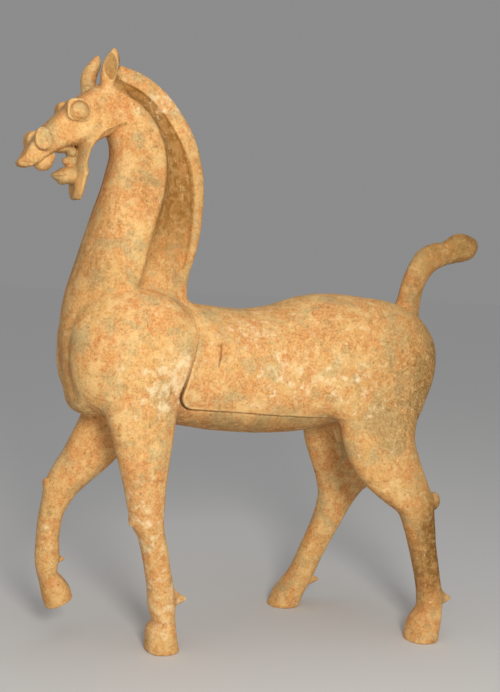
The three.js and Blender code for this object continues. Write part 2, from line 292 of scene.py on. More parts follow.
TRUNK = [
    [-419.5, 522, -415.5, 466, 0, 20],
    [-415, 549, -408, 432.5, 0, 50],
    [-400, 576, -397.5, 412.5, 0, 73],
    [-366, 602, -362, 403, 0, 90],
    [-300, 610, -300, 394, 0, 99],
    [-225, 600, -225, 387, 0, 104],
    [-160, 592, -160, 377, 0, 102],
    [-100, 588, -100, 371, 0, 99],
    [-45, 595, -45, 369, 0, 99],
    [25, 616, 25, 373, 0, 106],
    [95, 621, 95, 386, 0, 113],
    [165, 613, 165, 404, 0, 114],
    [216, 597, 215, 430, 0, 104],
    [250.5, 571, 249.5, 462, 0, 82],
    [268, 538, 267, 492, 0, 46],
]

NECK = [
    [-396, 898, -340, 981, 0, 36],
    [-376, 880, -303, 971, 0, 40],
    [-355.5, 861, -259, 943, 0, 45],
    [-350.5, 834, -219, 896, 0, 49],
    [-356, 806, -196, 845, 0, 53],
    [-364, 775, -187, 794, 0, 57],
    [-375.5, 740, -188, 745, 0, 62],
    [-389, 697, -194.5, 700, 0, 67],
    [-403, 650, -205, 664, 0, 72],
    [-416, 605, -214, 630, 0, 76],
    [-422, 560, -215, 590, 0, 76],
    [-412, 510, -214, 550, 0, 66],
]

# On each rib of the neck, how far back the hollow beside the mane begins, and the mane's thick edge.
MANE = [
    [0.56, 0.7],
    [0.55, 0.72],
    [0.55, 0.738],
    [0.54, 0.775],
    [0.525, 0.805],
    [0.505, 0.832],
    [0.48, 0.857],
    [0.45, 0.888],
    [0.45, 0.91],
    [0.46, 0.92],
    [0.47, 0.925],
    [0.47, 0.925],
]

HOLLOW = 0.54
MANE_EDGE = 0.84

# Half of the neck's section: round throat, full side, the hollow by the crest, and the mane's thick edge.
NECK_HALF = [
    [0, 0],
    [0.42, 0.03],
    [0.76, 0.13],
    [0.96, 0.29],
    [1, 0.42],
    [0.93, HOLLOW],
    [0.7, 0.595],
    [0.49, 0.67],
    [0.37, 0.76],
    [0.31, MANE_EDGE],
    [0.43, MANE_EDGE + 0.02],
    [0.44, 0.91],
    [0.38, 0.97],
    [0.18, 1],
    [0, 1],
]

HEAD = [
    [-350, 965, -322, 892, 0, 36],
    [-378, 945, -348, 872, 0, 43],
    [-402, 929, -376, 856, 0, 45],
    [-422, 913, -404, 846, 0, 44],
    [-439, 897, -424, 841, 0, 39],
    [-456, 879, -440, 834, 0, 34],
    [-472, 861, -456, 824, 0, 30],
    [-487, 840, -473, 810, 0, 27],
    [-497, 822, -487, 803, 0, 21],
    [-505, 811.5, -501, 804, 0, 12],
]

JAW = [
    [-404, 868, -352, 876, 0, 45],
    [-407, 846, -381.5, 853, 0, 43],
    [-408.5, 836, -390, 838, 0, 40],
    [-410, 826, -392.5, 826, 0, 37],
    [-412, 815, -393, 815, 0, 35],
    [-413, 804, -390.5, 804, 0, 33],
    [-416, 788, -394.5, 787, 0, 32],
    [-415, 772, -398.5, 771, 0, 30],
    [-412, 760, -402, 758, 0, 20],
]

# Half of the jaw's section: a rounded front face that runs back to a ridge along the side.
JAW_HALF = [
    [0, 0],
    [0.42, 0.06],
    [0.7, 0.2],
    [0.88, 0.42],
    [1, 0.68],
    [0.95, 0.8],
    [0.84, 0.9],
    [0.6, 0.98],
    [0, 1],
]

TONGUE = [
    [-404, 815, -404, 782, 0, 19],
    [-424, 811, -424, 783, 0, 19],
    [-435, 806, -437, 786, 0, 17],
    [-441, 801, -443, 790, 0, 12],
    [-447, 798, -447, 793, 0, 5],
]

TOOTH = [
    [-405, 829, -405, 812, 0, 13],
    [-418, 827, -420, 811, 0, 10],
    [-427, 825, -428, 813, 0, 6],
    [-431, 822, -431, 817, 0, 2],
]

UPPER_TEETH = [
    [-478, 818, -475, 805, 0, 10],
    [-469, 824, -467, 800, 0, 16],
    [-458, 830, -452, 803, 0, 17],
    [-447, 836, -443, 818, 0, 13],
]

EAR = [
    [-388, 912, -358, 918, 28, 12],
    [-381.5, 938, -359, 942, 32, 13],
    [-381.5, 960, -355, 964, 36, 12],
    [-377.5, 978, -352.5, 980, 37, 10],
    [-371, 990, -354, 991, 37, 7],
    [-364, 1000, -359, 1000, 37, 3],
]

# The far ear stands a little further forward.
FAR_EAR = [
    [-402, 912, -372, 918, 28, 12],
    [-395, 936, -371, 942, 32, 12],
    [-395.5, 957, -367.5, 964, 36, 11],
    [-389, 976, -362, 980, 37, 10],
    [-379, 989, -361.5, 991, 37, 7],
    [-370, 999, -365, 999, 37, 3],
]

NEAR_FORELEG = [
    [-370, 540, -268, 545, -62, 30],
    [-380, 485, -245, 490, -72, 40],
    [-370, 436, -243, 438, -74, 39],
    [-353, 382, -249, 378, -76, 36],
    [-338, 332, -254, 333, -76, 33],
    [-326, 290, -256, 292, -71, 30],
    [-319, 262, -255, 262, -66, 29],
    [-314, 246, -254.5, 248, -63, 28],
    [-306, 224, -252.5, 226, -60, 27],
    [-295, 205, -248, 206, -57, 25],
    [-286, 178, -240, 180, -53, 24],
    [-277, 146, -233, 148, -48, 23],
    [-269, 112, -224, 113, -43, 23],
    [-265, 84, -218, 86, -39, 24],
    [-258, 60, -218, 62, -37, 25],
    [-254.5, 50, -217, 50, -36, 26],
    [-264, 40, -215, 40, -36, 30],
    [-265, 20, -211, 18, -35, 33],
    [-265, 0, -207, 0, -35, 33],
]

FAR_FORELEG = [
    [-345, 520, -240, 470, 58, 34],
    [-345.5, 458, -236, 405, 62, 39],
    [-362, 398, -264, 352, 68, 38],
    [-387.5, 340, -314, 301, 73, 33],
    [-413, 293, -351, 269, 76, 29],
    [-421.5, 268, -365.5, 255, 77, 27],
    [-425, 246, -378, 238, 77, 25],
    [-430, 218, -388, 217, 77, 23],
    [-433, 184, -393, 185, 77, 22],
    [-434, 142, -392, 142, 77, 22],
    [-430, 117, -395, 119, 77, 24],
    [-425, 100, -384, 106, 77, 27],
    [-420, 76, -373, 91, 77, 29],
    [-413, 54, -367, 73, 77, 28],
]

NEAR_HIND_LEG = [
    [40, 575, 225, 580, -58, 34],
    [14, 530, 250, 540, -72, 38],
    [12, 480, 248, 482, -84, 42],
    [33, 432, 232, 430, -86, 43],
    [60, 396, 211.5, 397, -96, 39],
    [64, 362, 203, 369, -107, 37],
    [78, 325, 215, 330, -111, 34],
    [110.5, 285, 233, 289, -114, 30],
    [154, 252, 247, 256, -116, 28],
    [180, 232, 248, 230, -118, 27],
    [192, 205, 250, 206, -120, 25],
    [202, 176, 252, 178, -122, 24],
    [212, 144, 258, 145, -123, 24],
    [221, 108, 265, 109, -124, 24],
    [226, 78, 271, 78, -125, 25],
    [227, 57, 271, 57, -125, 26],
    [219, 45, 270, 45, -125, 30],
    [209, 25, 267.5, 26, -125, 33],
    [205, 0, 265, 0, -125, 32],
]

FAR_HIND_LEG = [
    [52, 570, 214, 578, 58, 34],
    [34, 520, 246, 535, 72, 38],
    [48, 470, 262, 480, 82, 42],
    [71, 425, 264, 430, 88, 44],
    [84, 378, 262, 372, 93, 40],
    [95.5, 332, 261, 312, 98, 36],
    [112, 294, 256, 264, 103, 32],
    [130, 254, 238, 234, 108, 29],
    [140, 218, 215, 203, 113, 27],
    [131, 168, 192, 165, 116, 25],
    [112.5, 121, 168, 122, 119, 24],
    [97, 82, 149, 84, 122, 25],
    [86, 60, 138, 58, 124, 26],
    [75, 46, 130, 44, 125, 30],
    [59, 27, 117, 22, 125, 32],
    [46, 0, 109, 0, 125, 31],
]

TAIL = [
    [206, 585, 268, 568, 0, 28],
    [224.5, 612, 267.5, 600, 0, 23],
    [231.5, 643, 275, 635, 0, 20],
    [240, 668, 284, 653, 0, 20],
    [251.5, 692, 297, 669, 0, 20],
    [267, 711, 311, 678, 0, 20],
    [293, 724, 325, 684, 0, 20],
    [318, 728, 338, 687, 0, 20],
    [336, 739.5, 350, 690, 0, 23],
    [352, 746, 365, 693, 0, 25],
    [371, 744, 381.5, 699, 0, 23],
    [386.5, 738, 392.5, 714, 0, 14],
]


# Rounded forms: middle and radii. Those with a y are on the far side, and the near side mirrors them.
HAUNCH = ([152, 56, 500], [98, 76, 106])
WITHERS = ([-265, 0, 598], [48, 56, 84])
SHOULDER = ([-321, 58, 514], [98, 60, 107])
SHOULDER_YAW = math.radians(15)
SHOULDER_FULLNESS = 2.5
SHOULDER_FADE = (-290, -235)  # between these the crease dies away towards the flank

# The knees' and hocks' bumps and the point under the belly: middle, radii, blend in metres, pitch.
BUMPS = [
    ([104.5, -6, 375], [9, 9, 29], 0.002, -0.2),
    ([-304, -62, 246], [7, 17, 21], 0.003, 0.3),
    ([-415.5, 77, 264], [7, 17, 20], 0.003, -0.3),
    ([249, -117, 252.5], [12, 13, 17], 0.005, 0.2),
    ([236, 108, 243], [12, 13, 16], 0.006, 0.2),
]

# The tips of the spurs behind the fetlocks, and their sizes beside a full one.
SPURS = [([-197, -40, 88], 1), ([-381, 77, 139], 0.6), ([296, -125, 71], 1), ([154, 122, 45], 0.8)]

# A spur from the leg to its tip: [before the tip, upper edge, lower edge, half thickness].
SPUR = [[42, 36, -16, 17], [28, 24, -13, 12], [17, 13, -10, 7.5], [8, 6, -7, 4.5], [0, 1.5, -2.5, 2]]
SPUR_DRAWN = 22  # the free length that these ribs are drawn for

# Hollows cut in the jaw's front and under the upper lip: middle, radii, blend in metres, pitch.
MOUTH_CUTS = [
    ([-418, 0, 790], [7, 23, 30], 0.003, -0.08),
    ([-484, 0, 795], [24, 15, 15], 0.002, -0.35),
]

# Small rounded forms in the open mouth: middle, radii, blend in metres.
MOUTH_KNOBS = [
    ([-428.5, 0, 788.5], [9, 18, 7.5], 0.001),
    ([-434, 0, 838.5], [17, 17, 8], 0.002),
    ([-416, 0, 833.5], [9, 17, 10], 0.0005),
]

EYE = {NEAR: (-417, -48, 895), FAR: (-417, 48, 897)}
SOCKET_AHEAD = {NEAR: 1.5, FAR: -0.5}  # how far the socket's middle is ahead of the eye's
NOSTRIL = {NEAR: (-472, 848.5, 12), FAR: (-473.5, 848, 13)}  # x, z and half the width
EAR_MIDDLE = 36
EAR_ROOM = 35  # half the width of the field that an ear is made in
EAR_LEAN = -0.17
EAR_CUP_RADII = [11, 10, 23.5]

# The flap's lower edge as [x, z], its front edge as [z, x], and the radius of the corner between.
FLAP_BELOW = [[-250, 427], [-200, 423], [-130, 418], [-62, 411], [0, 407], [60, 405], [170, 404]]
FLAP_BEFORE = [[385, -248], [445, -248], [463, -244], [505, -232], [547, -218], [586, -213], [630, -206]]
FLAP_CORNER = 26
FLAP_LOW = [-265, -135, 385]
FLAP_HIGH = [170, 135, 630]


def body(clay):
    clay.loft(TRUNK, round_section(2.3), 0)
    for side in (NEAR, FAR):
        clay.ball(on_side(side, HAUNCH[0]), HAUNCH[1], 0.03)
    clay.loft(NECK, mirrored_section(NECK_HALF), 0.02, warp=([HOLLOW, MANE_EDGE], MANE))
    clay.ball(*WITHERS, 0.02)
    for side in (NEAR, FAR):
        shoulder(clay, side)
    clay.loft(TAIL, round_section(), 0.016)


def on_side(side, point):
    x, y, z = point
    return [x, side * y, z]


def shoulder(clay, side):
    """The shoulder swells out of neck and chest, creased in front and above, and runs into the flank."""
    centre, radii = on_side(side, SHOULDER[0]), SHOULDER[1]
    reach = max(radii) * MIL + BAND
    cells, (x, y, z) = clay.places(place(centre) - reach, place(centre) + reach)
    swelling = ellipsoid(x, y, z, centre, radii, yaw=side * SHOULDER_YAW, fullness=SHOULDER_FULLNESS)
    field = np.clip(swelling, -BAND, BAND).astype(np.float32)
    behind = ramp((x - SHIFT) / MIL, *SHOULDER_FADE)
    crease = np.exp(-((np.maximum(field, 0) / CREASE_WIDTH) ** 2))
    clay.values[cells] += SHOULDER_CREASE * (1 - behind) * crease
    clay.join(cells, field, SHOULDER_BLEND + FLANK_BLEND * behind)


def saddle_flap(clay):
    """The flank stands out in a flap, with crisp edges in front and below, that dies away elsewhere."""
    cells, (x, _, z) = clay.places(place(FLAP_LOW), place(FLAP_HIGH))
    outline, strength, groove = flap_edge((x - SHIFT) / MIL, z / MIL)
    here = clay.values[cells]
    raised = np.maximum(here - FLAP_RAISE * strength, outline)
    clay.values[cells] = np.minimum(here + FLAP_GROOVE * groove, raised)


def flap_edge(u, w):
    """The distance outside the flap's edge, in metres, and the shares of its step and its groove.

    The step dies away upward and towards the thigh. The groove is deepest round the corner.
    """
    below = np.interp(u, *zip(*FLAP_BELOW))
    before = np.interp(w, *zip(*FLAP_BEFORE))
    ahead = np.maximum(FLAP_CORNER - (u - before), 0)
    under = np.maximum(FLAP_CORNER - (w - below), 0)
    outline = (np.hypot(ahead, under) - FLAP_CORNER) * MIL
    strength = (1 - 0.85 * ramp(w, 500, 585)) * (1 - ramp(u, 0, 90)) * (1 - ramp(w, 585, 615))
    corner_z, corner_x = FLAP_BEFORE[1]
    corner = np.exp(-(((u - corner_x) / 60) ** 2) - ((w - corner_z) / 55) ** 2)
    groove = (0.3 + 0.7 * corner) * (1 - ramp(u, -40, 60)) * (1 - ramp(w, 480, 600))
    return outline, strength, groove * np.exp(-((np.maximum(outline, 0) / FLAP_GROOVE_WIDTH) ** 2))


def legs(clay):
    section = round_section(2.2)
    clay.loft(NEAR_FORELEG, section, 0.01)
    for ribs in (FAR_FORELEG, NEAR_HIND_LEG, FAR_HIND_LEG):
        clay.loft(ribs, section, 0.022)
    for middle, radii, blend, pitch in BUMPS:
        clay.ball(middle, radii, blend, pitch)
    for tip, size in SPURS:
        spur(clay, tip, size)


def spur(clay, tip, size):
    """A pointed tuft drawn out of the back of a leg, flat below."""
    grow = size * SPUR_LENGTH / MIL / SPUR_DRAWN
    x, y, z = tip
    ribs = [
        [x - before * grow, z + up * grow, x - before * grow, z + down * grow, y, half * grow]
        for before, up, down, half in SPUR
    ]
    clay.loft(ribs, round_section(2, 32), 0.003)


def face(clay):
    skull = Clay(place([-530, -80, 740]), place([-300, 80, 1010]))
    skull.loft(HEAD, round_section(4.2), 0)
    skull.loft(JAW, mirrored_section(JAW_HALF), 0.006)
    for middle, radii, blend, pitch in MOUTH_CUTS:
        skull.ball(middle, radii, blend, pitch, cut=True)
    for side in (NEAR, FAR):
        socket(skull, side)
        nostril(skull, side)
    skull.loft(UPPER_TEETH, round_section(), 0.002)
    skull.loft(TONGUE, round_section(), 0.003)
    skull.loft(TOOTH, round_section(), 0.001)
    for middle, radii, blend in MOUTH_KNOBS:
        skull.ball(middle, radii, blend)
    clay.add(skull, 0.003)
    for side in (NEAR, FAR):
        ear(clay, side)


def socket(skull, side):
    """An eyeball in a squarish socket that stands above the brow, with a groove between the two."""
    x, y, z = EYE[side]
    outer = (EYE_RADIUS + EYE_GROOVE + EYE_RIM) / MIL
    groove = (EYE_RADIUS + EYE_GROOVE) / MIL
    ball = EYE_RADIUS / MIL
    middle = x - SOCKET_AHEAD[side]
    skull.disc([middle, side * 20, z + 2], [middle, y, z + 2], [outer * 0.93, outer * 0.9], 3.6, 2, 0.003)
    skull.ball([x, y + side * 3, z], [groove, groove * 0.8, groove], 0.001, cut=True)
    skull.ball([x, y - side * 5, z], [ball, ball * 0.9, ball], 0)


def nostril(skull, side):
    """A flared oval disc on the muzzle, dished, with a crisp rim in front."""
    x, z, wide = NOSTRIL[side]
    skull.disc([x + 3, side * 14, z - 1], [x, side * 40, z], [wide, 17.5], 2.2, 2, 0.002)
    skull.ball([x + 8, side * 26, z - 2], [14, 14, 17], 0.004)
    skull.ball([x - 1, side * 52, z + 1], [wide - 1, 14.5, 16.5], 0.001, cut=True)


def ear(clay, side):
    ribs = EAR if side == NEAR else FAR_EAR
    middle = side * EAR_MIDDLE
    leaf = Clay(place([-415, middle - EAR_ROOM, 900]), place([-340, middle + EAR_ROOM, 1008]))
    leaf.loft([[a, b, c, d, side * y, h] for a, b, c, d, y, h in ribs], round_section(), 0)
    leaf.ball(*ear_cup(side), 0.0005, pitch=EAR_LEAN, cut=True)
    clay.add(leaf, 0.004)


def ear_cup(side):
    """Middle and radii of the hollow in an ear."""
    ribs = EAR if side == NEAR else FAR_EAR
    return [(ribs[3][0] + ribs[3][2]) / 2 - 4.5, side * 47, 973], EAR_CUP_RADII


# Mesh

LATTICE = 64  # random values along each side of the noise's cube, which then repeats
LATTICE_START = 1000


def value_noise(points, size, seed):
    """Smooth noise from -1 to 1 with features of about the given size in metres."""
    lattice = np.random.default_rng(seed).uniform(-1, 1, (LATTICE, LATTICE, LATTICE))
    p = points / size + LATTICE_START
    cell = np.floor(p).astype(int)
    t = p - cell
    t = t * t * (3 - 2 * t)
    total = 0
    for corner in np.ndindex(2, 2, 2):
        weight = np.prod(np.where(corner, t, 1 - t), axis=1)
        i, j, k = ((cell + corner) % LATTICE).T
        total = total + weight * lattice[i, j, k]
    return total


def build_horse():
    clay = Clay(np.array(CAD_LOW) - MARGIN, np.array(CAD_HIGH) + MARGIN)
    body(clay)
    legs(clay)
    saddle_flap(clay)
    face(clay)
    points, quads = clay.mesh()
    mesh = bpy.data.meshes.new("terracotta_horse")
    mesh.from_pydata(points, [], quads)
    mesh.update()
    horse = bpy.data.objects.new("terracotta_horse", mesh)
    bpy.context.scene.collection.objects.link(horse)
    return horse


def numbers(mesh):
    """A mesh's points and normals as arrays."""
    points = np.empty(len(mesh.vertices) * 3, np.float32)
    normals = np.empty(len(mesh.vertices) * 3, np.float32)
    mesh.vertices.foreach_get("co", points)
    mesh.vertices.foreach_get("normal", normals)
    return points.reshape(-1, 3), normals.reshape(-1, 3)


# Lines that a tool left, as [x, z] places, a half width and a depth in metres, on both sides.
CHEEK_LINE = [[-378, 860], [-368, 868], [-361, 871], [-354, 874], [-346, 878.5], [-338, 883]]
SCORED = [
    (CHEEK_LINE, 0.0025, 0.003),
    ([[-388, 694], [-393, 665], [-395, 638], [-396, 615], [-394, 598]], 0.008, 0.002),
    ([[-217, 556], [-214.5, 582], [-212, 604]], 0.004, 0.0028),
    ([[-505, 812], [-495, 810], [-484, 809]], 0.0018, 0.0016),
    ([[-447, 791.5], [-438, 792], [-428, 795]], 0.002, 0.0025),
    ([[-55, 547], [-48, 515], [-40, 487]], 0.003, 0.001),
]

# A scratch in the near side of the flap, and its half width in metres at each height.
SCRATCH = [[-178, 536], [-181, 515], [-185, 497]]
SCRATCH_WIDTHS = [[495, 0.0009], [508, 0.0022], [522, 0.0017], [538, 0.0007]]
SCRATCH_DEPTH = 0.002

# The clay's unevenness: how deep and how large, in metres, and the seed.
UNEVEN = [(0.0007, 0.06, 1), (0.00035, 0.02, 2), (0.00012, 0.007, 3)]
PIT_DEPTH = 0.0006
SOLES_KEPT = (0.002, 0.012)  # the surface is left flat below these heights, and worn above


def weather(horse):
    """Uneven hand-worked clay, fine wear and scattered pits."""
    points, normals = numbers(horse.data)
    push = sum(depth * value_noise(points, size, seed) for depth, size, seed in UNEVEN)
    pits = value_noise(points, 0.006, 4) + 0.5 * value_noise(points, 0.09, 5)
    push -= PIT_DEPTH * ramp(pits, 0.85, 1.1)
    for line, width, depth in SCORED:
        push -= scored(points, normals, line, width, depth)
    push -= SCRATCH_DEPTH * scratch(points)
    wear_and_highlight = ramp(points[:, 2], *SOLES_KEPT)
    moved = points + normals * (push * wear_and_highlight)[:, None]
    low, high = np.array(CAD_LOW), np.array(CAD_HIGH)
    horse.data.vertices.foreach_set("co", np.clip(moved, low, high).astype(np.float32).ravel())
    horse.data.update()


def scratch(points):
    """1 on the scratch in the near side of the flap, and 0 away from it."""
    away = near_line(points, SCRATCH) + FAR_AWAY * (points[:, 1] > 0)
    width = np.interp(points[:, 2] / MIL, *zip(*SCRATCH_WIDTHS))
    return np.exp(-((away / width) ** 2))


def near_line(points, line, steps=6):
    """Distance in metres, seen from the side, of points from a smooth line given in thousandths."""
    fine = through(line, steps) * MIL + (SHIFT, 0)
    flat = points[:, [0, 2]]
    nearest = np.full(len(flat), FAR_AWAY)
    for a, b in zip(fine[:-1], fine[1:]):
        t = np.clip(((flat - a) @ (b - a)) / ((b - a) @ (b - a)), 0, 1)
        nearest = np.minimum(nearest, np.linalg.norm(flat - a - t[:, None] * (b - a), axis=1))
    return nearest


def scored(points, normals, line, width, depth):
    """How far a tool's mark along a line goes in, on the sides that face out."""
    return depth * along_line(points, line, width) * ramp(np.abs(normals[:, 1]), 0.2, 0.5)


def along_line(points, line, width):
    """1 on a line seen from the side, falling off over the width in metres."""
    return np.exp(-((near_line(points, line) / width) ** 2))


def spot(points, centre, reach):
    """1 at a place in thousandths of the height, falling off smoothly over the reach, in thousandths."""
    away = (points - place(centre)) / (np.array(reach) * MIL)
    return np.exp(-(away**2).sum(axis=1))


def paint_masks(horse):
    """Where patina, bare clay, pale flecks, painted shade and painted highlights go, as numbers on the
    vertices.
    """
    points, normals = numbers(horse.data)
    u, w = (points[:, 0] - SHIFT) / MIL, points[:, 2] / MIL
    near = ramp(-points[:, 1], -0.02, 0.02)
    masks = {
        # hollow: earth in the hollows beside the mane and in the ears, with painted shade of the hollows
        "hollow": np.maximum(mane_hollow(u, w, normals[:, 1]), 0.65 * ear_hollows(points)),
        # duller clay, and painted shade on the off legs, belly, chest, throat and jaw
        "dull_and_shade": dull_and_shade_places(points, u, w),
        # brown stains, and painted shade on the faces that look down
        "brown": brown_stains_and_underside_shade(points, normals),
        # rosy bare clay, and painted shade as more orange on the brow's upward faces and on faces that
        # look forward
        "bare_and_facing_shade": bare_and_facing_shade_places(points, u, w, normals),
        "flecks": spots(points, FLECKS) * (0.35 + 0.65 * near),
        "grey": spots(points, GREY),
        "crust": spots(points, CRUST),
        # painted shade in the flap's groove, the eye rings, the cheek's line and the scratch
        "groove_shade": groove_shade_places(points, u, w, normals),
        # painted highlights on the ears' rims, the flap's edge, the jaw's ridge and the point under the
        # belly
        "wear_and_highlight": painted_highlights(points, u, w),
    }
    for name, values in masks.items():
        layer = horse.data.attributes.new(name, "FLOAT", "POINT")
        layer.data.foreach_set("value", np.clip(values, 0, 1).astype(np.float32))


def spots(points, spread):
    """The sum of a mask's soft spots."""
    return sum(share * spot(points, centre, reach) for share, centre, reach in spread)


# Soft spots of each mask: (share, middle, reach), in thousandths of the height.
# These spots hold duller clay on rump and thighs, and painted shade on the belly, the chest's front, the
# throat and the jaw.
DULL_AND_SHADE = [
    (0.35, [190, -110, 520], [120, 90, 110]),
    (0.7, [250, -60, 500], [70, 120, 120]),
    (0.45, [170, -110, 400], [100, 80, 80]),
    (1.1, [240, -125, 190], [50, 60, 120]),
    (0.4, [-60, -60, 390], [170, 80, 20]),
    (0.35, [-410, -20, 480], [26, 50, 120]),
    (0.35, [-380, -20, 680], [26, 50, 120]),
    (0.4, [-400, -30, 790], [30, 50, 50]),
    (0.5, [-440, 0, 810], [24, 30, 20]),
    (0.35, [-200, 0, 770], [26, 50, 150]),
]
BROWN_SPOTS = [
    (1.4, [238, -125, 212], [24, 60, 26]),
    (1.3, [248, -125, 160], [20, 60, 26]),
    (0.9, [240, -125, 185], [36, 60, 75]),
    (0.6, [240, -125, 110], [40, 60, 22]),
    (0.8, [372, -10, 735], [24, 40, 16]),
    (0.6, [250, -10, 640], [16, 40, 50]),
    (0.6, [262, -60, 500], [45, 90, 90]),
    (0.35, [-300, -60, 800], [30, 40, 60]),
    (0.3, [-380, -50, 650], [40, 60, 60]),
]
FLECKS = [
    (1, [-285, -120, 455], [50, 60, 50]),
    (1, [-255, -110, 500], [30, 60, 40]),
    (1, [-115, -100, 560], [55, 50, 30]),
    (0.8, [-300, -60, 230], [60, 70, 90]),
    (0.8, [-245, -40, 80], [50, 60, 60]),
    (0.8, [-410, 70, 150], [50, 60, 60]),
    (0.9, [-60, -100, 480], [60, 50, 40]),
    (0.7, [60, -110, 470], [60, 60, 50]),
    (2, [-262, 0, 925], [22, 60, 18]),
]
GREY = [
    (1, [-425, 0, 790], [32, 60, 30]),
    (1, [-468, -40, 848], [16, 20, 20]),
    (0.9, [-345, -50, 855], [26, 30, 22]),
    (0.6, [-300, -90, 640], [120, 60, 30]),
    (0.5, [190, -110, 480], [90, 80, 80]),
    (0.6, [150, -100, 380], [80, 60, 60]),
    (0.5, [-60, -100, 405], [160, 60, 14]),
    (0.3, [-417, -48, 895], [18, 16, 18]),
    (1.2, [-418, -10, 832], [14, 22, 14]),
    (1, [118, -100, 402], [46, 60, 24]),
]
CRUST = [
    (1, [200, -110, 500], [90, 90, 90]),
    (0.7, [340, 0, 720], [60, 50, 50]),
    (0.8, [180, -110, 390], [90, 80, 60]),
    (0.6, [-290, -110, 450], [70, 70, 50]),
    (0.7, [235, -125, 180], [50, 60, 90]),
    (0.5, [20, -100, 540], [60, 60, 40]),
    (0.6, [-410, 77, 160], [50, 60, 80]),
]
ROSY = [
    (0.8, [-330, -120, 560], [60, 60, 40]),
    (0.7, [-120, -100, 430], [120, 40, 24]),
    (0.6, [170, -110, 430], [40, 40, 40]),
    (0.6, [120, -110, 540], [50, 50, 40]),
    (0.6, [-340, -40, 960], [60, 60, 30]),
    (0.8, [140, 100, 290], [80, 60, 130]),
    (0.6, [-360, 77, 330], [60, 60, 70]),
]

# Where the jaw's ridge gets a painted highlight, as [x, z], and the width of a line of painted shade in
# metres.
JAW_RIDGE = [[-394, 832], [-401, 815], [-400, 800], [-403, 785], [-405, 768]]
SHADE_LINE_WIDTH = 0.0018

# The mane's inner edge and the front of the hollow beside it, as [z, x] from below.
MANE_INNER = [
    [600, -222], [627, -221], [666, -217], [712, -213], [754, -210], [788, -211],
    [810, -214], [832, -220], [852, -229], [870, -240], [888, -251], [905, -265],
    [919, -279], [930, -292], [942, -308], [950, -327], [954, -353],
]
HOLLOW_FRONT = [
    [600, -304], [663, -302], [705, -295], [748, -281], [775, -272],
    [800, -269], [818, -268], [844, -268], [856, -270], [871, -279],
    [890, -289], [905, -301], [918, -317], [928, -336], [938, -358],
]


def mane_hollow(u, w, side):
    """Brown earth with painted shade in the hollow beside the mane, which thins out towards the withers.
    """
    inner = np.interp(w, *zip(*MANE_INNER))
    front = np.interp(w, *zip(*HOLLOW_FRONT))
    across = ramp(u - front, -6, 3) * ramp(inner - u, -4, 0)
    return across * (0.25 + 0.75 * ramp(w, 640, 760)) * ramp(w, 600, 640) * ramp(np.abs(side), 0.1, 0.4)


def ear_hollows(points):
    x, y, z = points.T
    away = [np.abs(ellipsoid(x, y, z, *ear_cup(side), EAR_LEAN)) for side in (NEAR, FAR)]
    return 1 - ramp(np.minimum(*away), 0.0008, 0.002)


def dull_and_shade_places(points, u, w):
    """Where the clay is darker and greener: duller clay on rump, thighs and tail, and painted shade on the
    off legs, belly, chest, throat and jaw.
    """
    tail = ramp(u, 225, 300) * ramp(w, 600, 660)
    off_legs = ramp(points[:, 1] / MIL, 30, 60) * ramp(-w, -420, -330)
    return 1.1 * tail + 0.1 * off_legs + spots(points, DULL_AND_SHADE)


def brown_stains_and_underside_shade(points, normals):
    # Brown stains in spots, and painted shade on faces that look down.
    return spots(points, BROWN_SPOTS) + ramp(-normals[:, 2], 0.35, 0.9) * 0.5


def bare_and_facing_shade_places(points, u, w, normals):
    # Painted shade: the brow's upward faces and all faces that look forward get more orange; the rosy
    # spots are the clay's own.
    brow = ramp(normals[:, 2], 0.3, 0.8) * ramp(w, 800, 860) * ramp(-u, 360, 400)
    front = ramp(-normals[:, 0], 0.4, 0.9) * 0.5
    return brow * 0.9 + front + spots(points, ROSY)


def groove_shade_places(points, u, w, normals):
    """Dark lines of painted shade in the scratch, the flap's groove, the eye rings and the cheek's edge.
    """
    outline, _, groove = flap_edge(u, w)
    flap = (1.3 * groove - 0.15) * np.exp(-(((outline - 0.001) / SHADE_LINE_WIDTH) ** 2))
    flap = np.maximum(flap, 0) * (np.abs(points[:, 1]) > FLAP_SIDE)
    rings = sum(eye_ring(points, u, w, side) for side in (NEAR, FAR))
    cheek = along_line(points, CHEEK_LINE, SHADE_LINE_WIDTH) * ramp(np.abs(normals[:, 1]), 0.2, 0.5)
    return flap + 0.5 * rings + 0.5 * cheek + 0.8 * scratch(points)


def eye_ring(points, u, w, side):
    """1 in the groove round an eyeball."""
    x, _, z = EYE[side]
    away = np.hypot(u - x, w - z) * MIL - EYE_RADIUS - EYE_GROOVE / 2
    return np.exp(-((away / SHADE_LINE_WIDTH) ** 2)) * (side * points[:, 1] > 0.045)


def painted_highlights(points, u, w):
    """Painted highlights on the ears' rims, the flap's edge, the jaw's ridge and the point under the
    belly.
    """
    y = np.abs(points[:, 1])
    rims = sum(ear_rim(points, side) for side in (NEAR, FAR))
    outline, _, groove = flap_edge(u, w)
    flap = np.exp(-(((outline + 0.0035) / 0.002) ** 2)) * groove * (y > FLAP_SIDE)
    ridge = along_line(points, JAW_RIDGE, 0.0022) * (y > 0.02)
    return 0.8 * rims + 1.6 * flap + 0.6 * ridge + 0.8 * spot(points, [103, -6, 362], [9, 14, 22])


def ear_rim(points, side):
    """1 on the edge round the hollow in an ear."""
    x, y, z = points.T
    away = ellipsoid(x, y, z, *ear_cup(side), EAR_LEAN) - 0.0022
    return np.exp(-((away / 0.0013) ** 2)) * ramp(side * y / MIL, 34, 38)


# The head is kept fine above and ahead of these, and crisp lines as far round as this, in metres.
HEAD_BOTTOM = 745
HEAD_BACK = -358
FINE_REACH = 0.006


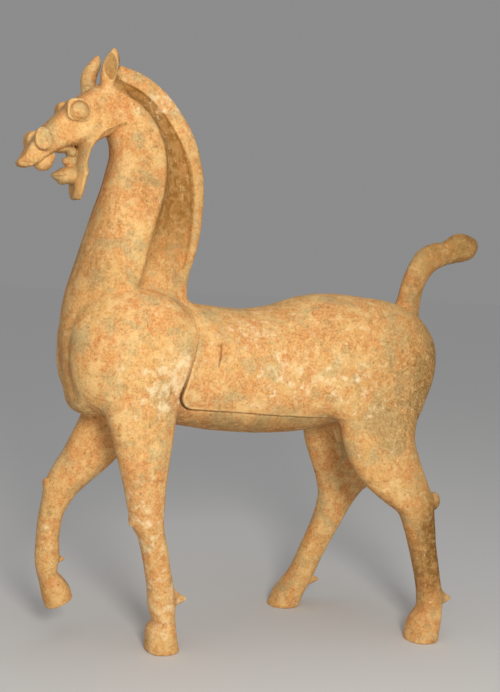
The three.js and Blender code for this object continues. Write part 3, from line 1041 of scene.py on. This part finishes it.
def thin_out(horse):
    """Fewer triangles, and none taken where the finest forms are."""
    count = sum(len(p.vertices) - 2 for p in horse.data.polygons)
    if count <= MOST_TRIANGLES:
        return
    points, _ = numbers(horse.data)
    free = horse.vertex_groups.new(name="free")
    free.add(np.flatnonzero(~fine_places(points)).tolist(), 1.0, "REPLACE")
    modifier = horse.modifiers.new("thin", "DECIMATE")
    modifier.ratio = MOST_TRIANGLES / count
    modifier.vertex_group = free.name
    modifier.vertex_group_factor = 1.0
    depsgraph = bpy.context.evaluated_depsgraph_get()
    thinned = bpy.data.meshes.new_from_object(horse.evaluated_get(depsgraph))
    horse.modifiers.clear()
    horse.vertex_groups.clear()
    horse.data = thinned


def fine_places(points):
    """True on the head, beside the flap's crisp edge and round the scratch."""
    u, w = (points[:, 0] - SHIFT) / MIL, points[:, 2] / MIL
    outline, _, groove = flap_edge(u, w)
    flap = (np.abs(outline) < FINE_REACH) & (groove > 0.02) & (np.abs(points[:, 1]) > FLAP_SIDE)
    head = (w > HEAD_BOTTOM) & (u < HEAD_BACK)
    return head | flap | (near_line(points, SCRATCH) < FINE_REACH)


# Material

def shade(red, green, blue):
    """A colour given as it looks on a screen, from 0 to 255, in linear light."""
    return tuple((c / 255) ** 2.2 for c in (red, green, blue)) + (1,)


BUFF = shade(226, 172, 104)
ORANGE = shade(218, 144, 82)
RED = shade(202, 118, 68)
PALE = shade(244, 202, 136)
GREY_GREEN = shade(184, 164, 116)
HONEY = shade(150, 104, 46)
OLIVE = shade(150, 112, 58)
BROWN = shade(128, 86, 38)
# DARK is used only for painted shade in grooves and lines.
DARK = shade(74, 48, 22)
WHITE = shade(250, 226, 180)


# Sockets of the node that mixes two colours.
MIX_SHARE, MIX_UNDER, MIX_OVER, MIX_RESULT = 0, 6, 7, 2


class Nodes:
    """Short names for the nodes of one material."""

    def __init__(self, material):
        material.use_nodes = True
        self.nodes, self.links = material.node_tree.nodes, material.node_tree.links
        self.shader = self.nodes["Principled BSDF"]
        self.coordinates = self.nodes.new("ShaderNodeTexCoord").outputs["Object"]

    def feed(self, socket, value):
        if isinstance(value, bpy.types.NodeSocket):
            self.links.new(value, socket)
        else:
            socket.default_value = value

    def noise(self, scale, detail=4, roughness=0.6, distortion=0.0, stretch=(1, 1, 1), shift=0.0):
        moved = self.nodes.new("ShaderNodeMapping")
        moved.inputs["Scale"].default_value = stretch
        moved.inputs["Location"].default_value = (shift, shift, shift)
        self.feed(moved.inputs["Vector"], self.coordinates)
        node = self.nodes.new("ShaderNodeTexNoise")
        node.inputs["Scale"].default_value = scale
        node.inputs["Detail"].default_value = detail
        node.inputs["Roughness"].default_value = roughness
        node.inputs["Distortion"].default_value = distortion
        self.feed(node.inputs["Vector"], moved.outputs[0])
        return node.outputs[0]

    def span(self, value, low, high, bottom=0.0, top=1.0):
        """Bottom where the value is low, top where it is high, and smooth between."""
        node = self.nodes.new("ShaderNodeMapRange")
        node.interpolation_type = "SMOOTHSTEP"
        node.inputs["From Min"].default_value = low
        node.inputs["From Max"].default_value = high
        node.inputs["To Min"].default_value = bottom
        node.inputs["To Max"].default_value = top
        self.feed(node.inputs["Value"], value)
        return node.outputs[0]

    def maths(self, operation, *values):
        node = self.nodes.new("ShaderNodeMath")
        node.operation = operation
        for socket, value in zip(node.inputs, values):
            self.feed(socket, value)
        return node.outputs[0]

    def product(self, a, b):
        return self.maths("MULTIPLY", a, b)

    def plus(self, pattern, mask, weight):
        """A pattern raised where a mask is painted."""
        return self.maths("MULTIPLY_ADD", mask, weight, pattern)

    def mix(self, under, over, share):
        """One colour over another, by a share from 0 to 1."""
        node = self.nodes.new("ShaderNodeMix")
        node.data_type = "RGBA"
        node.clamp_factor = True
        self.feed(node.inputs[MIX_SHARE], share)
        self.feed(node.inputs[MIX_UNDER], under)
        self.feed(node.inputs[MIX_OVER], over)
        return node.outputs[MIX_RESULT]

    def clouds(self, under, over, pattern, low, high, most):
        """One colour over another where a pattern passes from low to high, up to a share."""
        return self.mix(under, over, self.span(pattern, low, high, 0, most))

    def mask(self, name):
        node = self.nodes.new("ShaderNodeAttribute")
        node.attribute_name = name
        return node.outputs["Fac"]


def fired_clay(n, blotch, mottle):
    """The clay itself: buff, with orange, red and pale clouds and pale strokes down the surface."""
    # The bare mask also carries painted shade on upward and forward faces, as more orange and red.
    bare_and_facing_shade = n.mask("bare_and_facing_shade")
    broad = n.noise(8, 4, 0.55, 0.4)
    strokes = n.noise(44, 6, 0.7, 0.2, stretch=(1, 1, 0.2), shift=13)
    tone = n.clouds(BUFF, ORANGE, n.plus(broad, bare_and_facing_shade, 0.15), 0.42, 0.6, 0.6)
    tone = n.clouds(tone, ORANGE, blotch, 0.45, 0.62, 0.7)
    tone = n.clouds(tone, RED, n.plus(mottle, bare_and_facing_shade, 0.06), 0.5, 0.66, 0.45)
    tone = n.clouds(tone, PALE, n.noise(34, 5, 0.65, 0.3, shift=21), 0.48, 0.62, 0.7)
    tone = n.clouds(tone, PALE, n.noise(95, 5, 0.7, 0.3, shift=71), 0.5, 0.64, 0.4)
    return n.clouds(tone, PALE, strokes, 0.5, 0.64, 0.45)


def stains(n, tone, blotch, mottle, grain):
    """Grey-green and brown patches, duller clay with painted shade, brown stains with painted shade under
    the forms, and earth with painted shade in the hollows.
    """
    grey = n.plus(n.noise(20, 5, 0.65, 0.3, shift=31), n.mask("grey"), 0.16)
    tone = n.clouds(tone, GREY_GREEN, grey, 0.5, 0.66, 0.65)
    tone = n.clouds(tone, BROWN, n.noise(60, 6, 0.75, 0.6, shift=51), 0.53, 0.66, 0.35)
    tone = n.clouds(tone, PALE, grain, 0.47, 0.62, 0.4)
    # Painted shade, together with duller clay, in olive.
    tone = n.mix(tone, OLIVE, n.product(n.mask("dull_and_shade"), n.span(blotch, 0.3, 0.7, 0.9, 0.5)))
    # Painted shade on faces that look down, together with brown stains.
    tone = n.mix(tone, BROWN, n.product(n.mask("brown"), n.span(mottle, 0.4, 0.6, 0.35, 1)))
    # Painted shade of the hollows, together with their earth.
    return n.mix(tone, HONEY, n.product(n.mask("hollow"), n.span(mottle, 0.38, 0.62, 1, 0.55)))


def crusts(n, tone, crust, grain, specks):
    """Dark and pale crust where it has gathered, dark grains and specks."""
    crusty = n.mask("crust")
    tone = n.mix(tone, BROWN, n.product(crusty, n.span(crust, 0.51, 0.37, 0, 0.8)))
    tone = n.mix(tone, PALE, n.product(crusty, n.span(crust, 0.53, 0.66, 0, 0.8)))
    tone = n.clouds(tone, BROWN, grain, 0.46, 0.34, 0.3)
    return n.mix(tone, BROWN, specks)


def marks(n, tone, mottle):
    """White flecks, painted highlights on edges and lines of painted shade."""
    flecks = n.plus(n.noise(60, 7, 0.7, 0.1, shift=61), n.mask("flecks"), 0.15)
    tone = n.clouds(tone, WHITE, flecks, 0.57, 0.78, 0.8)
    # Painted highlights on rims, edges and ridges.
    tone = n.mix(tone, PALE, n.product(n.mask("wear_and_highlight"), n.span(mottle, 0.4, 0.6, 0.9, 0.4)))
    # Painted shade in grooves and lines.
    return n.mix(tone, DARK, n.product(n.mask("groove_shade"), 0.85))


def roughen(n, crust, grain, specks):
    """Fine relief of the fired surface."""
    height = n.maths("MULTIPLY_ADD", crust, 0.6, n.product(grain, 0.3))
    bump = n.nodes.new("ShaderNodeBump")
    bump.inputs["Strength"].default_value = 0.45
    bump.inputs["Distance"].default_value = 0.002
    n.feed(bump.inputs["Height"], n.maths("MULTIPLY_ADD", specks, -0.5, height))
    n.feed(n.shader.inputs["Normal"], bump.outputs[0])


def terracotta():
    material = bpy.data.materials.new("terracotta")
    n = Nodes(material)
    blotch = n.noise(24, 5, 0.6, 0.5, shift=3)
    mottle = n.noise(75, 6, 0.7, 0.3, shift=7)
    grain = n.noise(230, 4, 0.7, shift=11)
    crust = n.noise(110, 7, 0.8, 0.8, shift=17)
    specks = n.span(n.noise(150, 3, 0.7, shift=41), 0.64, 0.7, 0, 0.6)
    tone = fired_clay(n, blotch, mottle)
    tone = stains(n, tone, blotch, mottle, grain)
    tone = crusts(n, tone, crust, grain, specks)
    tone = marks(n, tone, mottle)
    n.feed(n.shader.inputs["Base Color"], tone)
    n.feed(n.shader.inputs["Roughness"], n.span(mottle, 0.3, 0.7, 0.7, 0.92))
    n.shader.inputs["Specular IOR Level"].default_value = 0.3
    roughen(n, crust, grain, specks)
    return material


def main():
    horse = build_horse()
    weather(horse)
    thin_out(horse)
    paint_masks(horse)
    horse.data.shade_smooth()
    horse.data.materials.append(terracotta())
    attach(horse, "root")
    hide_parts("horse")


# Camera, light and floor

# The photo's camera: its place in metres, with x counted from the tables' origin, and its turns.
CAMERA_PLACE = (-0.9526 + SHIFT, -1.8538, 0.7367)
CAMERA_YAW = math.radians(25.0)
CAMERA_PITCH = math.radians(4.51)
CAMERA_ROLL = math.radians(-2.83)
FOCAL_PIXELS = 1050
LONG_SIDE_PIXELS = 692
SENSOR_WIDTH = 36
VIEW_DEPTH = 100

# Soft lights that face the figure's middle: place, size in metres, power in watts and colour.
AREA_LIGHTS = {
    "key": ((-0.62, -2.3, 1.2), 0.5, 40, (1, 0.96, 0.88)),
    "fill": ((-2.8, -0.6, 1.2), 2.0, 2.5, (1, 1, 1)),
    "top": ((0.3, 0.3, 3.0), 2.0, 5, (1, 1, 1)),
}
SKY_STRENGTH = 0.35
SKY_SOFTNESS = math.radians(60)
SKY_TURN = (math.radians(25), 0, math.radians(-20))
SURROUNDINGS = (0.8, 0.8, 0.8, 1)
SURROUNDINGS_STRENGTH = 0.33
FLOOR_REACH = 20
FLOOR_DROP = 0.0005  # keeps the floor clear of the soles
FLOOR_COLOUR = (0.7, 0.7, 0.7, 1)


def link(name, data):
    made = bpy.data.objects.new(name, data)
    bpy.context.scene.collection.objects.link(made)
    return made


def camera():
    data = bpy.data.cameras.new("camera")
    data.sensor_width = SENSOR_WIDTH
    data.lens = FOCAL_PIXELS / LONG_SIDE_PIXELS * SENSOR_WIDTH
    data.clip_end = VIEW_DEPTH
    made = link("camera", data)
    cy, sy = math.cos(CAMERA_YAW), math.sin(CAMERA_YAW)
    cp, sp = math.cos(CAMERA_PITCH), math.sin(CAMERA_PITCH)
    cr, sr = math.cos(CAMERA_ROLL), math.sin(CAMERA_ROLL)
    forward = Vector((sy * cp, cy * cp, -sp))
    right = Vector((cy, -sy, 0))
    down = forward.cross(right)
    image_right = cr * right + sr * down
    image_down = -sr * right + cr * down
    turn = Matrix((image_right, -image_down, -forward)).transposed()
    made.matrix_world = Matrix.Translation(CAMERA_PLACE) @ turn.to_4x4()
    bpy.context.scene.camera = made


def area_light(name, stand, size, power, colour):
    data = bpy.data.lights.new(name, "AREA")
    data.size = size
    data.energy = power
    data.color = colour
    made = link(name, data)
    made.location = stand
    middle = Vector((0, 0, HEIGHT / 2))
    made.rotation_euler = (middle - Vector(stand)).to_track_quat("-Z", "Y").to_euler()


def sky_light():
    data = bpy.data.lights.new("sky", "SUN")
    data.energy = SKY_STRENGTH
    data.angle = SKY_SOFTNESS
    made = link("sky", data)
    made.rotation_euler = SKY_TURN


def studio():
    for name, light in AREA_LIGHTS.items():
        area_light(name, *light)
    sky_light()
    bpy.context.scene.view_settings.view_transform = "Standard"
    world = bpy.data.worlds.new("studio")
    world.use_nodes = True
    background = world.node_tree.nodes["Background"]
    background.inputs["Color"].default_value = SURROUNDINGS
    background.inputs["Strength"].default_value = SURROUNDINGS_STRENGTH
    bpy.context.scene.world = world


def floor():
    r = FLOOR_REACH
    mesh = bpy.data.meshes.new("floor")
    mesh.from_pydata([(-r, -r, 0), (r, -r, 0), (r, r, 0), (-r, r, 0)], [], [(0, 1, 2, 3)])
    made = link("floor", mesh)
    made.location.z = -FLOOR_DROP
    material = bpy.data.materials.new("floor")
    material.use_nodes = True
    shader = material.node_tree.nodes["Principled BSDF"]
    shader.inputs["Base Color"].default_value = FLOOR_COLOUR
    shader.inputs["Roughness"].default_value = 0.9
    mesh.materials.append(material)


main()
camera()
studio()
floor()
